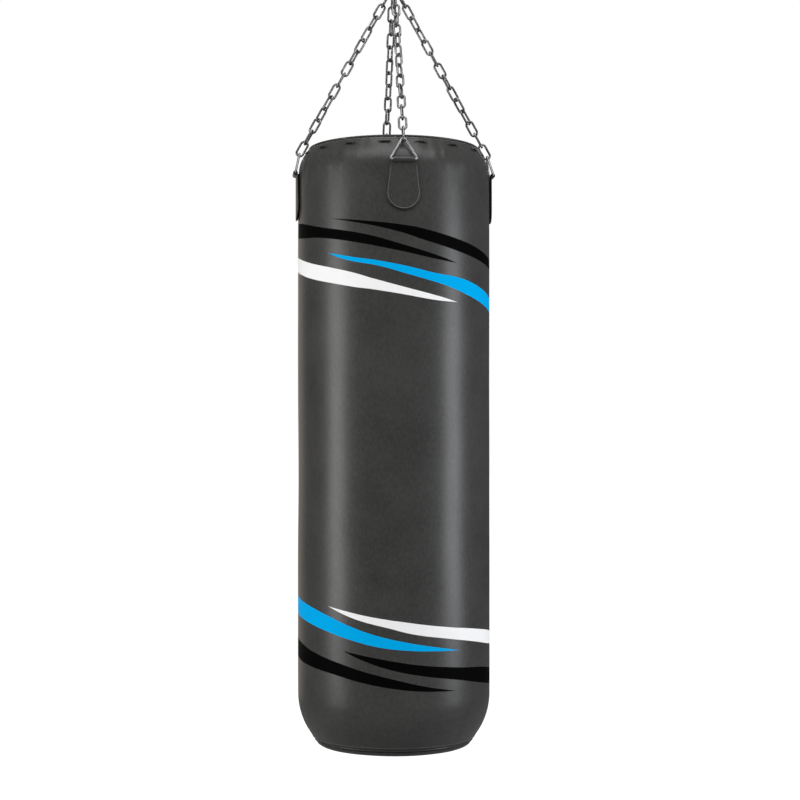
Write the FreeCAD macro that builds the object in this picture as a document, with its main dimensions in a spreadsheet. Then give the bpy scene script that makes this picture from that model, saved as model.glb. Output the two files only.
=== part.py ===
"""Heavy punching bag on four chains: a filled, laced cover with four sewn tabs, each with a triangle ring,
and a chain from every ring to one master ring, which hangs from a two-part swivel.

Millimetres, +Z up. The origin is the point where the ceiling hook bears inside the swivel's upper eye.
The front of the bag faces -Y. Angles round the bag are counted from the front towards the right side.
"""

import FreeCAD, Part
import math
import os
import re

import Sketcher
from FreeCAD import Placement, Rotation, Vector

# name, millimetres (degrees or a count where the note says so), what it is
DIMENSIONS = [
    ("bag_radius", 175, "outer radius of the cover's wall"),
    ("bag_height", 1078, "bottom of the bag to the top of the rim"),
    ("cover_wall", 2.2, "coated leather with its woven backing"),
    ("shoulder_drop", 50, "height of the rounded shoulder"),
    ("shoulder_arc", 62.5, "radius of the shoulder's section"),
    ("foot_rise", 90, "height where the wall starts to round in to the bottom seam"),
    ("foot_arc", 120.7, "radius of that rounding"),
    ("seam_radius", 142.2, "radius of the bottom seam's welt"),
    ("seam_rise", 8, "height of that welt"),
    ("panel_flat", 131, "radius of the flat of the bottom panel"),
    ("panel_radius", 141, "outer radius of the bottom panel"),
    ("panel_arc", 14, "radius of the bottom panel's turned-up edge"),
    ("rim_radius", 153, "radius of the rim's welt"),
    ("welt_radius", 2, "half the thickness of the welts"),
    ("soft_gap", 0.4, "room between soft pieces that lie on each other"),
    ("collar_radius", 150.8, "outer radius of the collar over the lid"),
    ("collar_hole", 126, "radius of the collar's opening"),
    ("sheet_wall", 2, "leather of the collar and the lid"),
    ("lid_radius", 148, "radius of the lid and of the foam under it"),
    ("foam_wall", 20, "closed-cell foam round the filling"),
    ("foam_floor", 28, "foam disc under the filling"),
    ("cap_pad", 30, "foam disc above the filling"),
    ("lace_wire", 2.6, "thickness of the lace"),
    ("lace_drop", 13, "depth of the lace below the rim"),
    ("lace_windows", 16, "count of the short runs where the lace shows outside"),
    ("lace_show", 12.5, "length of each of those runs"),
    ("lace_bend", 4, "radius of the lace's bends at the slots"),
    ("slot_offset", 9.35, "middle of a window to the middle of its slots"),
    ("slot_long", 10.8, "length of each lace slot"),
    ("slot_tall", 3.9, "height of each lace slot"),
    ("tab_bar_radius", 179.6, "distance of the triangle rings' base bars from the bag's axis"),
    ("tab_bar_drop", 47, "depth of those bars below the rim"),
    ("tab_gap", 0.3, "room between a tab and the cover"),
    ("tab_plies", 3.4, "thickness of a tab's two plies"),
    ("tab_top", 24.5, "half the width of a tab at its top"),
    ("tab_wide", 30, "half the width of a tab at its round end, and that end's radius"),
    ("tab_long", 56, "base bar to the middle of the round end"),
    ("loop_half", 18.4, "half the length of the loop that holds the base bar"),
    ("loop_wall", 1.9, "thickness of the webbing round the base bar"),
    ("ring_wire", 4, "thickness of the triangle rings' wire"),
    ("ring_half", 24.5, "half the width of a triangle ring between wire centres"),
    ("ring_corner_height", 43, "base bar to the unrounded top corner"),
    ("ring_base_bend", 3.2, "bend radius at the base corners"),
    ("ring_top_bend", 5, "bend radius at the top corner"),
    ("ring_lean", 12, "degrees that a ring leans in over the shoulder"),
    ("link_wire", 4, "thickness of the chain's wire"),
    ("link_pitch", 24.6, "inner length of a link"),
    ("link_width", 16.5, "outer width of a link"),
    ("link_count", 14, "count of links in each chain"),
    ("side_twist", 180, "degrees that the two side chains are wound"),
    ("front_twist", 90, "degrees that the front and back chains are wound"),
    ("seat_gap", 0.3, "room between pieces that hang on each other and move"),
    ("bar_side", 11, "place of the side chains along the master ring's bar"),
    ("bar_middle", 2.4, "place of the front and back chains along it"),
    ("bar_height", 279, "the bar's height above the rim"),
    ("master_wire", 7, "thickness of the master ring's wire"),
    ("master_half", 17.5, "half the width of the master ring between wire centres"),
    ("master_side", 12, "straight side of the master ring"),
    ("master_bend", 5, "bend radius at the ends of the bar"),
    ("eye_wire", 8, "thickness of both swivel eyes"),
    ("eye_radius", 13, "centre of both swivel eyes to their wire's centre"),
    ("eye_flat", 3, "half the straight run on each side of the lower eye"),
    ("eye_seat_gap", 0.6, "room between the lower eye and the master ring"),
    ("bow_side", 25, "straight sides of the upper eye"),
    ("boss_radius", 17.5, "radius of the upper eye's base"),
    ("boss_height", 12, "height of that base"),
    ("boss_chamfer", 2, "chamfer on its edges"),
    ("stem_radius", 5, "radius of the swivel's stem"),
    ("stem_fit", 0.06, "radial running clearance of the stem"),
    ("thrust_gap", 0.1, "axial play on each side of the base"),
    ("washer_radius", 9, "outer radius of the nut's washer"),
    ("washer_height", 1.6, "thickness of both washers"),
    ("thrust_radius", 11, "outer radius of the thrust washer and the shoulder"),
    ("shoulder_height", 5, "height of the lower eye's shoulder"),
    ("shoulder_edge", 1, "chamfer round the foot of that shoulder"),
    ("neck_height", 4, "height of the cone between the shoulder and the lower eye"),
    ("nut_flat", 15, "nut across its flats"),
    ("nut_height", 7, "height of the nut"),
    ("nut_crown", 0.2, "how far the crown of the nut is cut into the middle of its flats"),
]
SIDES = {"front": 0, "right": 90, "back": 180, "left": 270}
LABELS = []  # the objects that are written out, in order

doc = FreeCAD.newDocument("punching_bag")


def make_sheet():
    sheet = doc.addObject("Spreadsheet::Sheet", "Dims")
    for row, (alias, value, note) in enumerate(DIMENSIONS, start=1):
        sheet.set(f"A{row}", note)
        sheet.set(f"B{row}", str(value))
        sheet.setAlias(f"B{row}", alias)
    doc.recompute()
    return sheet


SHEET = make_sheet()
ALIASES = {alias for alias, _, _ in DIMENSIONS}


def bound(text):
    """An expression on the sheet: every alias in the text gets the sheet's name."""
    return re.sub(r"[a-z_]+", lambda m: "Dims." + m.group() if m.group() in ALIASES else m.group(), text)


def value(text):
    return float(SHEET.evalExpression(bound(text)))


def bind(obj, **properties):
    """Bind properties to the sheet; a double underscore stands for a dot, as in Placement__Base__z."""
    for name, text in properties.items():
        obj.setExpression(name.replace("__", "."), bound(text))
    return obj


def primitive(kind, name, **properties):
    return bind(doc.addObject(kind, name), **properties)


def fuse(name, shapes):
    fused = doc.addObject("Part::MultiFuse", name)
    fused.Shapes = shapes
    return fused


def cut(name, base, tool):
    result = doc.addObject("Part::Cut", name)
    result.Base = base
    result.Tool = tool
    return result


def keep(obj, label):
    """Give a finished sub-part its name, which is also its file's name."""
    obj.Label = label
    LABELS.append(obj)
    return obj


# ---------------------------------------------------------------- sketches and features


def new_body(name):
    return doc.addObject("PartDesign::Body", name)


def new_sketch(body, name, plane):
    sketch = body.newObject("Sketcher::SketchObject", name)
    planes = {feature.Role: feature for feature in body.Origin.OriginFeatures}
    sketch.AttachmentSupport = [(planes[plane], "")]
    sketch.MapMode = "FlatFace"
    return sketch


def arc_between(p, q, radius, side):
    """The short arc from p to q with its centre on the left (side 1) or the right (side -1)."""
    half = (q - p) * 0.5
    left = Vector(-half.y, half.x, 0).normalize()
    centre = p + half + left * side * math.sqrt(max(radius**2 - half.Length**2, 0))
    first, last = (p, q) if side > 0 else (q, p)
    start = math.atan2(first.y - centre.y, first.x - centre.x)
    end = math.atan2(last.y - centre.y, last.x - centre.x)
    circle = Part.Circle(centre, Vector(0, 0, 1), radius)
    return Part.ArcOfCircle(circle, start, end if end > start else end + 2 * math.pi)


def constrain(sketch, name, text, *arguments):
    """A dimension bound to the sheet."""
    index = sketch.addConstraint(Sketcher.Constraint(*arguments, value(text)))
    sketch.renameConstraint(index, name)
    sketch.setExpression(f"Constraints.{name}", bound(text))


def outline(sketch, corners, closed=True, tag=""):
    """Lines and arcs through corners (x, y), (x, y, radius, side) where an arc leads on to the next corner.

    Every corner is placed by two bound dimensions, and every arc by its bound radius. A half circle has
    its ends symmetric about its centre instead.
    """
    points = [Vector(value(c[0]), value(c[1]), 0) for c in corners]
    ends = []
    steps = len(corners) if closed else len(corners) - 1
    for i in range(steps):
        p, q = points[i], points[(i + 1) % len(points)]
        if len(corners[i]) == 2:
            geo = sketch.addGeometry(Part.LineSegment(p, q))
            ends.append((geo, 1, 2))
            continue
        radius_text, side = corners[i][2:]
        geo = sketch.addGeometry(arc_between(p, q, value(radius_text), side))
        ends.append((geo, 1, 2) if side > 0 else (geo, 2, 1))
        if abs((q - p).Length / 2 - value(radius_text)) < 1e-6:
            sketch.addConstraint(Sketcher.Constraint("Symmetric", geo, 1, geo, 2, geo, 3))
        else:
            constrain(sketch, f"{tag}arc{i}", radius_text, "Radius", geo)
    for i, (geo, start, end) in enumerate(ends):
        constrain(sketch, f"{tag}x{i}", corners[i][0], "DistanceX", geo, start)
        constrain(sketch, f"{tag}y{i}", corners[i][1], "DistanceY", geo, start)
        if i + 1 < len(ends) or closed:
            following = ends[(i + 1) % len(ends)]
            sketch.addConstraint(Sketcher.Constraint("Coincident", geo, end, following[0], following[1]))
        else:
            constrain(sketch, "x_end", corners[-1][0], "DistanceX", geo, end)
            constrain(sketch, "y_end", corners[-1][1], "DistanceY", geo, end)


def circle_at(sketch, x, y, radius):
    centre = Vector(value(x), value(y), 0)
    geo = sketch.addGeometry(Part.Circle(centre, Vector(0, 0, 1), value(radius)))
    constrain(sketch, "centre_x", x, "DistanceX", geo, 3)
    constrain(sketch, "centre_y", y, "DistanceY", geo, 3)
    constrain(sketch, "radius", radius, "Radius", geo)


def revolved(name, corners):
    """A body turned about Z from an outline of (radius, height) corners."""
    body = new_body(name)
    sketch = new_sketch(body, name + "_profile", "XZ_Plane")
    outline(sketch, corners)
    turn = body.newObject("PartDesign::Revolution", name + "_turn")
    turn.Profile = sketch
    turn.ReferenceAxis = (sketch, ["V_Axis"])
    turn.Angle = 360
    return body


def bent_wire(name, corners, wire, section_plane, section_x="0", closed=True):
    """A body of round wire along an outline in the XZ plane, its section drawn where the path crosses
    another origin plane at a right angle."""
    body = new_body(name)
    path = new_sketch(body, name + "_path", "XZ_Plane")
    outline(path, corners, closed)
    section = new_sketch(body, name + "_section", section_plane)
    circle_at(section, section_x, "0", wire + " / 2")
    pipe = body.newObject("PartDesign::AdditivePipe", name + "_pipe")
    pipe.Profile = section
    pipe.Spine = path
    return body


def place(obj, rise="0", turn=None):
    """Bind a piece's height and, if it is turned round the bag, its angle."""
    bind(obj, Placement__Base__z=rise)
    if turn:
        obj.Placement = Placement(obj.Placement.Base, Rotation(Vector(0, 0, 1), 1))
        bind(obj, Placement__Rotation__Angle=turn)
    return obj


def disc(name, radius, thickness, rise, hole=None):
    """A round sheet or pad, with a hole in it or none."""
    blank = primitive("Part::Cylinder", name + "_blank", Radius=radius, Height=thickness)
    if hole:
        blank = cut(name, blank, primitive("Part::Cylinder", name + "_hole", Radius=hole, Height=thickness))
    return keep(place(blank, rise), name)


# ---------------------------------------------------------------- heights, as expressions on the sheet

BOSS_TOP = "(eye_wire / 2 - eye_radius - bow_side)"
BOSS_FOOT = f"({BOSS_TOP} - boss_height)"
SHOULDER_TOP = f"({BOSS_FOOT} - 2 * thrust_gap - washer_height)"
SHOULDER_FOOT = f"({SHOULDER_TOP} - shoulder_height)"
EYE_CENTRE = f"({SHOULDER_FOOT} - neck_height / 2 - eye_radius)"
MASTER_TOP = f"({EYE_CENTRE} - eye_radius + (eye_wire + master_wire) / 2 + eye_seat_gap)"
BAR = f"({MASTER_TOP} - master_half - master_side - master_bend)"
RIM = f"({BAR} - bar_height)"
FOOT = f"({RIM} - bag_height)"
RING_BAR = f"({RIM} - tab_bar_drop)"


# ---------------------------------------------------------------- the bag: cover, panels and welts


def wall_at(arc, height, inset="0"):
    """Radius of the cover where its section is an arc, at a height measured from where the arc starts."""
    return f"(bag_radius - {arc} + sqrt(({arc} - {inset})^2 - ({height})^2))"


def make_cover():
    """The wall from seam to rim, with a pair of lace slots at every window."""
    foot = "(seam_rise + welt_radius + tab_gap)"
    top = "(bag_height - 2 * welt_radius - tab_gap)"
    from_foot = f"(foot_rise - {foot})"
    from_shoulder = f"({top} - bag_height + shoulder_drop)"
    inner = "(bag_radius - cover_wall)"
    body = revolved("cover", [
        (wall_at("foot_arc", from_foot), foot, "foot_arc", 1),
        ("bag_radius", "foot_rise"),
        ("bag_radius", "bag_height - shoulder_drop", "shoulder_arc", 1),
        (wall_at("shoulder_arc", from_shoulder), top),
        (wall_at("shoulder_arc", from_shoulder, "cover_wall"), top, "shoulder_arc - cover_wall", -1),
        (inner, "bag_height - shoulder_drop"),
        (inner, "foot_rise", "foot_arc - cover_wall", -1),
        (wall_at("foot_arc", from_foot, "cover_wall"), foot),
    ])
    doc.recompute()
    slots = new_sketch(body, "lace_slots", "XZ_Plane")
    middle = "bag_height - lace_drop"
    straight = "(slot_long - slot_tall) / 2"
    for tag, offset in (("near_", "- slot_offset"), ("far_", "+ slot_offset")):
        left = f"(0 {offset} - {straight})"
        right = f"(0 {offset} + {straight})"
        outline(slots, [
            (left, f"{middle} - slot_tall / 2"),
            (right, f"{middle} - slot_tall / 2", "slot_tall / 2", 1),
            (right, f"{middle} + slot_tall / 2"),
            (left, f"{middle} + slot_tall / 2", "slot_tall / 2", 1),
        ], tag=tag)
    pocket = body.newObject("PartDesign::Pocket", "lace_slot_pair")
    pocket.Profile = slots
    pocket.Type = "ThroughAll"
    pocket.Reversed = True
    doc.recompute()
    pattern = body.newObject("PartDesign::PolarPattern", "lace_slot_pairs")
    pattern.Originals = [pocket]
    axes = {feature.Role: feature for feature in body.Origin.OriginFeatures}
    pattern.Axis = (axes["Z_Axis"], [""])
    pattern.Angle = 360
    bind(pattern, Occurrences="lace_windows")
    body.Tip = pattern
    doc.recompute()
    return keep(place(body, FOOT, "180 / lace_windows"), "outer_cover")


def make_bottom_panel():
    """A shallow dish, its edge turned up to the welt."""
    edge = "(seam_rise - welt_radius - tab_gap)"
    body = revolved("panel", [
        ("0", "0"),
        ("panel_flat", "0", "panel_arc", 1),
        ("panel_radius", edge),
        ("panel_radius - cover_wall", edge, "panel_arc", -1),
        ("panel_flat - cover_wall", "cover_wall"),
        ("0", "cover_wall"),
    ])
    return keep(place(body, FOOT), "bottom_panel")


def make_welt(name, radius, rise):
    welt = primitive("Part::Torus", name, Radius1=radius, Radius2="welt_radius")
    return keep(place(welt, rise), name)


def make_filling():
    """Foam below, round and above the textile filling."""
    floor = f"({FOOT} + cover_wall + soft_gap)"
    fill = f"({floor} + foam_floor + soft_gap)"
    lid = f"({RIM} - 2 * welt_radius - tab_gap - 2 * sheet_wall - soft_gap)"
    pad = f"({lid} - soft_gap - cap_pad)"
    inside = "(bag_radius - cover_wall - soft_gap)"
    disc("top_collar", "collar_radius", "sheet_wall", f"{lid} + sheet_wall + soft_gap", "collar_hole")
    disc("top_lid", "lid_radius", "sheet_wall", lid)
    disc("foam_cap", "lid_radius", "cap_pad", pad)
    disc("foam_wrap", inside, "bag_height - shoulder_drop - foot_rise", f"{FOOT} + foot_rise",
         f"{inside} - foam_wall")
    disc("textile_filling", f"{inside} - foam_wall - soft_gap", f"{pad} - soft_gap - {fill}", fill)
    disc("foam_floor", "panel_flat - cover_wall", "foam_floor", floor)


# ---------------------------------------------------------------- the lace


def wire_through(points, bend):
    """A closed wire of straight runs through the points, with a tangent arc of one radius at each."""
    edges, last_end, first_start = [], None, None
    count = len(points)
    for i, corner in enumerate(points):
        back = (points[i - 1] - corner).normalize()
        ahead = (points[(i + 1) % count] - corner).normalize()
        turn = math.pi - back.getAngle(ahead)
        reach = bend * math.tan(turn / 2)
        start, end = corner + back * reach, corner + ahead * reach
        to_centre = (back + ahead).normalize() * (bend / math.cos(turn / 2))
        middle = corner + to_centre - to_centre.normalize() * bend
        if last_end:
            edges.append(Part.LineSegment(last_end, start).toShape())
        edges.append(Part.Arc(start, middle, end).toShape())
        first_start = first_start or start
        last_end = end
    edges.append(Part.LineSegment(last_end, first_start).toShape())
    return Part.Wire(edges)


def lace_points():
    """The lace's corners: out through a slot, along the outside, in through the next, on inside."""
    drop = value("shoulder_drop - lace_drop")
    middle = value("bag_radius - shoulder_arc")
    half = value("lace_wire / 2 + tab_gap")
    outside = middle + math.sqrt((value("shoulder_arc") + half) ** 2 - drop**2)
    inside = middle + math.sqrt((value("shoulder_arc - cover_wall") - half) ** 2 - drop**2)
    show = value("lace_show") / 2
    ramp = show + outside - inside
    points = []
    for window in range(round(value("lace_windows"))):
        turn = Rotation(Vector(0, 0, 1), (window + 0.5) * 360 / value("lace_windows"))
        corners = ((-ramp, inside), (-show, outside), (show, outside), (ramp, inside))
        points += [turn.multVec(Vector(across, -radius, 0)) for across, radius in corners]
    return points


def make_lace():
    wire = wire_through(lace_points(), value("lace_bend"))
    start = wire.Edges[0].valueAt(wire.Edges[0].FirstParameter)
    along = wire.Edges[0].tangentAt(wire.Edges[0].FirstParameter)
    section = Part.Wire([Part.makeCircle(value("lace_wire / 2"), start, along)])
    lace = doc.addObject("Part::Feature", "lace")
    lace.Shape = wire.makePipeShell([section], True, True)
    swept = math.pi * value("lace_wire / 2") ** 2 * wire.Length
    print(f"lace: {wire.Length:.0f} long, bends of radius {value('lace_bend')}, volume {lace.Shape.Volume:.1f}, "
          f"section by length {swept:.1f}")
    return keep(place(lace, f"{RIM} - lace_drop"), "rim_lace")


# ---------------------------------------------------------------- tabs and triangle rings


def make_tab_pattern():
    """One tab at the front: a drop-shaped double patch on the wall, its top a loop for the base bar."""
    blank = new_body("tab_blank")
    outline_sketch = new_sketch(blank, "tab_outline", "XZ_Plane")
    top = "(0 - ring_wire / 2 - loop_wall / 2)"
    outline(outline_sketch, [
        ("tab_wide", "0 - tab_long"),
        ("tab_top", top),
        ("0 - tab_top", top),
        ("0 - tab_wide", "0 - tab_long", "tab_wide", 1),
    ])
    pad = blank.newObject("PartDesign::Pad", "tab_pad")
    pad.Profile = outline_sketch
    bind(pad, Length="bag_radius + tab_bar_radius")
    height = "2 * tab_long + 2 * tab_wide"
    shell = cut(
        "tab_shell",
        primitive("Part::Cylinder", "tab_face", Radius="bag_radius + tab_gap + tab_plies", Height=height),
        primitive("Part::Cylinder", "tab_underside", Radius="bag_radius + tab_gap", Height=height),
    )
    place(shell, f"0 - ({height}) / 2")
    plate = doc.addObject("Part::MultiCommon", "tab_plate")
    plate.Shapes = [blank, shell]
    bar = {"Placement__Base__y": "0 - tab_bar_radius", "Placement__Base__x": "0 - loop_half"}
    tube = primitive("Part::Cylinder", "tab_loop", Radius="ring_wire / 2 + seat_gap + loop_wall",
                     Height="2 * loop_half", **bar)
    bore = primitive("Part::Cylinder", "tab_bore", Radius="ring_wire / 2 + seat_gap",
                     Height="2 * loop_half", **bar)
    for cylinder in (tube, bore):
        base = cylinder.Placement.Base
        cylinder.Placement = Placement(base, Rotation(Vector(0, 1, 0), 90))
    return cut("tab", fuse("tab_uncut", [plate, tube]), bore)


def make_ring_pattern():
    """One triangle ring at the front, its base bar in the tab's loop, leaning in over the shoulder."""
    side = "sqrt(ring_half^2 + ring_corner_height^2)"
    base_reach = f"(ring_base_bend * ring_corner_height / ({side} - ring_half))"
    top_reach = "(ring_top_bend * ring_corner_height / ring_half)"
    lower_x = f"(ring_half - {base_reach} * ring_half / {side})"
    lower_z = f"({base_reach} * ring_corner_height / {side})"
    upper_x = f"({top_reach} * ring_half / {side})"
    upper_z = f"(ring_corner_height - {top_reach} * ring_corner_height / {side})"
    body = bent_wire("triangle", [
        (f"0 - ring_half + {base_reach}", "0"),
        (f"ring_half - {base_reach}", "0", "ring_base_bend", 1),
        (lower_x, lower_z),
        (upper_x, upper_z, "ring_top_bend", 1),
        (f"0 - {upper_x}", upper_z),
        (f"0 - {lower_x}", lower_z, "ring_base_bend", 1),
    ], "ring_wire", "YZ_Plane")
    body.Placement = Placement(Vector(), Rotation(Vector(-1, 0, 0), 1))
    return bind(body, Placement__Base__y="0 - tab_bar_radius", Placement__Rotation__Angle="ring_lean")


def repeat(pattern, name):
    """The four copies of a piece made at the front, each a sub-part of its own."""
    for side, angle in SIDES.items():
        copy = doc.addObject("Part::Compound", f"{name}_copy_{side}")
        copy.Links = [pattern]
        keep(place(copy, RING_BAR, f"{angle}" if angle else None), f"{name}_{side}")


# ---------------------------------------------------------------- chains


def make_link_pattern():
    """One welded link in the XZ plane, its long way along Z."""
    half_width = "(link_width - link_wire) / 2"
    half_side = f"((link_pitch + link_wire) / 2 - {half_width})"
    return bent_wire("link", [
        (half_width, f"0 - {half_side}"),
        (half_width, half_side, half_width, 1),
        (f"0 - {half_width}", half_side),
        (f"0 - {half_width}", f"0 - {half_side}", half_width, 1),
    ], "link_wire", "XY_Plane", half_width)


def ring_top(angle):
    """The centre of the wire at the top of a triangle ring, seen from the hanging point."""
    half, corner, bend = value("ring_half"), value("ring_corner_height"), value("ring_top_bend")
    height = corner - bend * (math.hypot(half, corner) / half - 1)
    lean = math.radians(value("ring_lean"))
    radius = value("tab_bar_radius") - height * math.sin(lean)
    rise = value(RING_BAR) + height * math.cos(lean)
    return Rotation(Vector(0, 0, 1), angle).multVec(Vector(0, -radius, rise))


def make_chain(side, link, bar_x, twist):
    """Links from the master ring's bar down to a triangle ring, each a quarter turn from the last.

    The chain is drawn tight: its links are spread evenly over the way between its two seats.
    """
    bar = Vector(bar_x, 0, value(BAR))
    ring_wire = ring_top(SIDES[side])
    up = (bar - ring_wire).normalize()
    tangent = Rotation(Vector(0, 0, 1), SIDES[side]).multVec(Vector(1, 0, 0))
    wire, gap = value("link_wire"), value("seat_gap")
    bar_seat = ((value("master_wire") + wire) / 2 + gap) / math.sqrt(1 - up.x**2)
    ring_seat = ((value("ring_wire") + wire) / 2 + gap) / math.sqrt(1 - up.dot(tangent) ** 2)
    half = (value("link_pitch") + wire) / 2
    count = round(value("link_count"))
    first, last = half - bar_seat, (bar - ring_wire).Length - half + ring_seat
    spacing = (last - first) / (count - 1)
    print(f"{side} chain: links {spacing:.2f} apart, of a pitch of {value('link_pitch')}")
    if spacing > value("link_pitch"):
        raise ValueError(f"the {side} chain is too short")
    across = (Vector(0, 1, 0) - up * up.y).normalize()
    solids = []
    for i in range(count):
        roll = 90 * i + twist * i / (count - 1)
        in_plane = Rotation(up, roll).multVec(across)
        turn = Rotation(in_plane, up.cross(in_plane), up, "ZXY")
        solid = link.Shape.copy()
        solid.Placement = Placement(bar - up * (first + spacing * i), turn)
        solids.append(solid)
    chain = doc.addObject("Part::Feature", f"links_{side}")
    chain.Shape = Part.makeCompound(solids)
    return keep(chain, f"chain_{side}")


def make_chains():
    link = make_link_pattern()
    doc.recompute()
    side_bar, middle_bar = value("bar_side"), value("bar_middle")
    make_chain("front", link, middle_bar, value("front_twist"))
    make_chain("right", link, side_bar, value("side_twist"))
    make_chain("back", link, -middle_bar, value("front_twist"))
    make_chain("left", link, -side_bar, value("side_twist"))


# ---------------------------------------------------------------- master ring and swivel


def make_master_ring():
    """A D-shaped ring: a straight bar for the four chains and a half circle that rides in the eye."""
    bar_end = "(master_half - master_bend)"
    top = "(master_bend + master_side)"
    body = bent_wire("master", [
        (f"0 - {bar_end}", "0"),
        (bar_end, "0", "master_bend", 1),
        ("master_half", "master_bend"),
        ("master_half", top, "master_half", 1),
        ("0 - master_half", top),
        ("0 - master_half", "master_bend", "master_bend", 1),
    ], "master_wire", "YZ_Plane")
    return keep(place(body, BAR), "master_ring")


def make_lower_eye():
    """Stem, shoulder and neck turned in one, with the eye forged on below, its foot a straight bar."""
    stem_top = f"{BOSS_TOP} - {SHOULDER_TOP} + thrust_gap + washer_height + nut_height"
    shank = revolved("shank", [
        ("0", "0 - shoulder_height - neck_height"),
        ("stem_radius", "0 - shoulder_height - neck_height"),
        ("thrust_radius - shoulder_edge", "0 - shoulder_height"),
        ("thrust_radius", "shoulder_edge - shoulder_height"),
        ("thrust_radius", "0"),
        ("stem_radius", "0"),
        ("stem_radius", stem_top),
        ("0", stem_top),
    ])
    place(shank, SHOULDER_TOP)
    bend = "eye_radius - eye_flat"
    eye = bent_wire("lower_eye_bend", [
        ("0 - eye_flat", "0 - eye_radius"),
        ("eye_flat", "0 - eye_radius", bend, 1),
        ("eye_radius", "0 - eye_flat"),
        ("eye_radius", "eye_flat", bend, 1),
        ("eye_flat", "eye_radius"),
        ("0 - eye_flat", "eye_radius", bend, 1),
        ("0 - eye_radius", "eye_flat"),
        ("0 - eye_radius", "0 - eye_flat", bend, 1),
    ], "eye_wire", "XY_Plane", "eye_radius")
    place(eye, EYE_CENTRE, "90")
    return keep(fuse("lower_eye", [shank, eye]), "swivel_lower_eye")


def make_upper_eye():
    """A bow of round bar with its feet in a bored base."""
    bow = bent_wire("bow", [
        ("eye_radius", "0 - eye_wire / 2"),
        ("eye_radius", "bow_side", "eye_radius", 1),
        ("0 - eye_radius", "bow_side"),
        ("0 - eye_radius", "0 - eye_wire / 2"),
    ], "eye_wire", "XY_Plane", "eye_radius", closed=False)
    place(bow, BOSS_TOP)
    base = revolved("base", [
        ("stem_radius + stem_fit", "0"),
        ("boss_radius - boss_chamfer", "0"),
        ("boss_radius", "boss_chamfer"),
        ("boss_radius", "boss_height - boss_chamfer"),
        ("boss_radius - boss_chamfer", "boss_height"),
        ("stem_radius + stem_fit", "boss_height"),
    ])
    place(base, BOSS_FOOT)
    return keep(fuse("upper_eye", [bow, base]), "swivel_upper_eye")


def make_nut():
    prism = primitive("Part::Prism", "nut_blank", Circumradius="nut_flat / sqrt(3)", Height="nut_height")
    prism.Polygon = 6
    cone = primitive("Part::Cone", "nut_cone", Radius1="nut_flat / 2 + 2 * nut_height",
                     Radius2="nut_flat / 2 - nut_crown", Height="nut_height")
    crowned = doc.addObject("Part::MultiCommon", "nut_crowned")
    crowned.Shapes = [prism, cone]
    bore = primitive("Part::Cylinder", "nut_bore", Radius="stem_radius + stem_fit", Height="nut_height")
    nut = cut("nut", crowned, bore)
    return keep(place(nut, f"{BOSS_TOP} + thrust_gap + washer_height"), "swivel_nut")


def make_swivel():
    make_master_ring()
    make_lower_eye()
    make_upper_eye()
    bore = "stem_radius + stem_fit"
    disc("swivel_washer", "washer_radius", "washer_height", f"{BOSS_TOP} + thrust_gap", bore)
    disc("swivel_thrust_washer", "thrust_radius", "washer_height", f"{SHOULDER_TOP} + thrust_gap / 2", bore)
    make_nut()


# ---------------------------------------------------------------- build, test and write


def build():
    make_cover()
    make_bottom_panel()
    make_welt("bottom_welt", "seam_radius", f"{FOOT} + seam_rise")
    make_welt("rim_welt", "rim_radius", f"{RIM} - welt_radius")
    make_filling()
    make_lace()
    repeat(make_tab_pattern(), "tab")
    repeat(make_ring_pattern(), "triangle_ring")
    make_chains()
    make_swivel()
    doc.recompute()


def test():
    for obj in doc.Objects:
        if "Invalid" in obj.State or "Error" in obj.State:
            raise RuntimeError(f"{obj.Label} failed: {obj.State}")
    for obj in LABELS:
        if obj.Shape.isNull() or not obj.Shape.isValid() or not obj.Shape.Solids:
            raise RuntimeError(f"{obj.Label} has no valid solid")
        solid_count = len(obj.Shape.Solids)
        print(f"{obj.Label:22} {solid_count:3} solid  {obj.Shape.Volume / 1000:10.2f} cm3")


def write():
    os.makedirs("parts", exist_ok=True)
    for obj in LABELS:
        obj.Shape.exportStep(f"parts/{obj.Label}.step")


build()
test()
write()
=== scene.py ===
import math

import bpy
from mathutils import Matrix, Vector, noise


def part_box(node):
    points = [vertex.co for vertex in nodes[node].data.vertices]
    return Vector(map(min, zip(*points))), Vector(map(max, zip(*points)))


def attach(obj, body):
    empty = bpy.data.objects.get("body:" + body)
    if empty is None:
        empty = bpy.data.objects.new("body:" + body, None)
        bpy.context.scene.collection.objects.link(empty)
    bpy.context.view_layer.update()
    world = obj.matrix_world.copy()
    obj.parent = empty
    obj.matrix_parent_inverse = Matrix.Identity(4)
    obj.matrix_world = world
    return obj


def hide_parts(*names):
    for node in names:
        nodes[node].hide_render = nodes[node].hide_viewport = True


# A heavy punching bag on four chains: metres, +Z up, the bag's front faces -Y. Angles round the bag are
# counted from its front towards its right side.

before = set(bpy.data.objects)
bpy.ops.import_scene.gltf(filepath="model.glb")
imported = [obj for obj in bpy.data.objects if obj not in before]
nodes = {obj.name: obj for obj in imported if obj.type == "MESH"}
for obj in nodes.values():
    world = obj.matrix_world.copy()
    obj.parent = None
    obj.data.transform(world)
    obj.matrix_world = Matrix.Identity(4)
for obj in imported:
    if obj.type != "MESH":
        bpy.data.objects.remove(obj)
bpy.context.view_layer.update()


# ---------------------------------------------------------------- swivel
# Two forged steel eyes, zinc plated: the lower one's stem turns in the upper one's base and is held there
# by a washer and a crowned nut. They are hard turned and forged pieces, so they keep their shapes.


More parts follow.
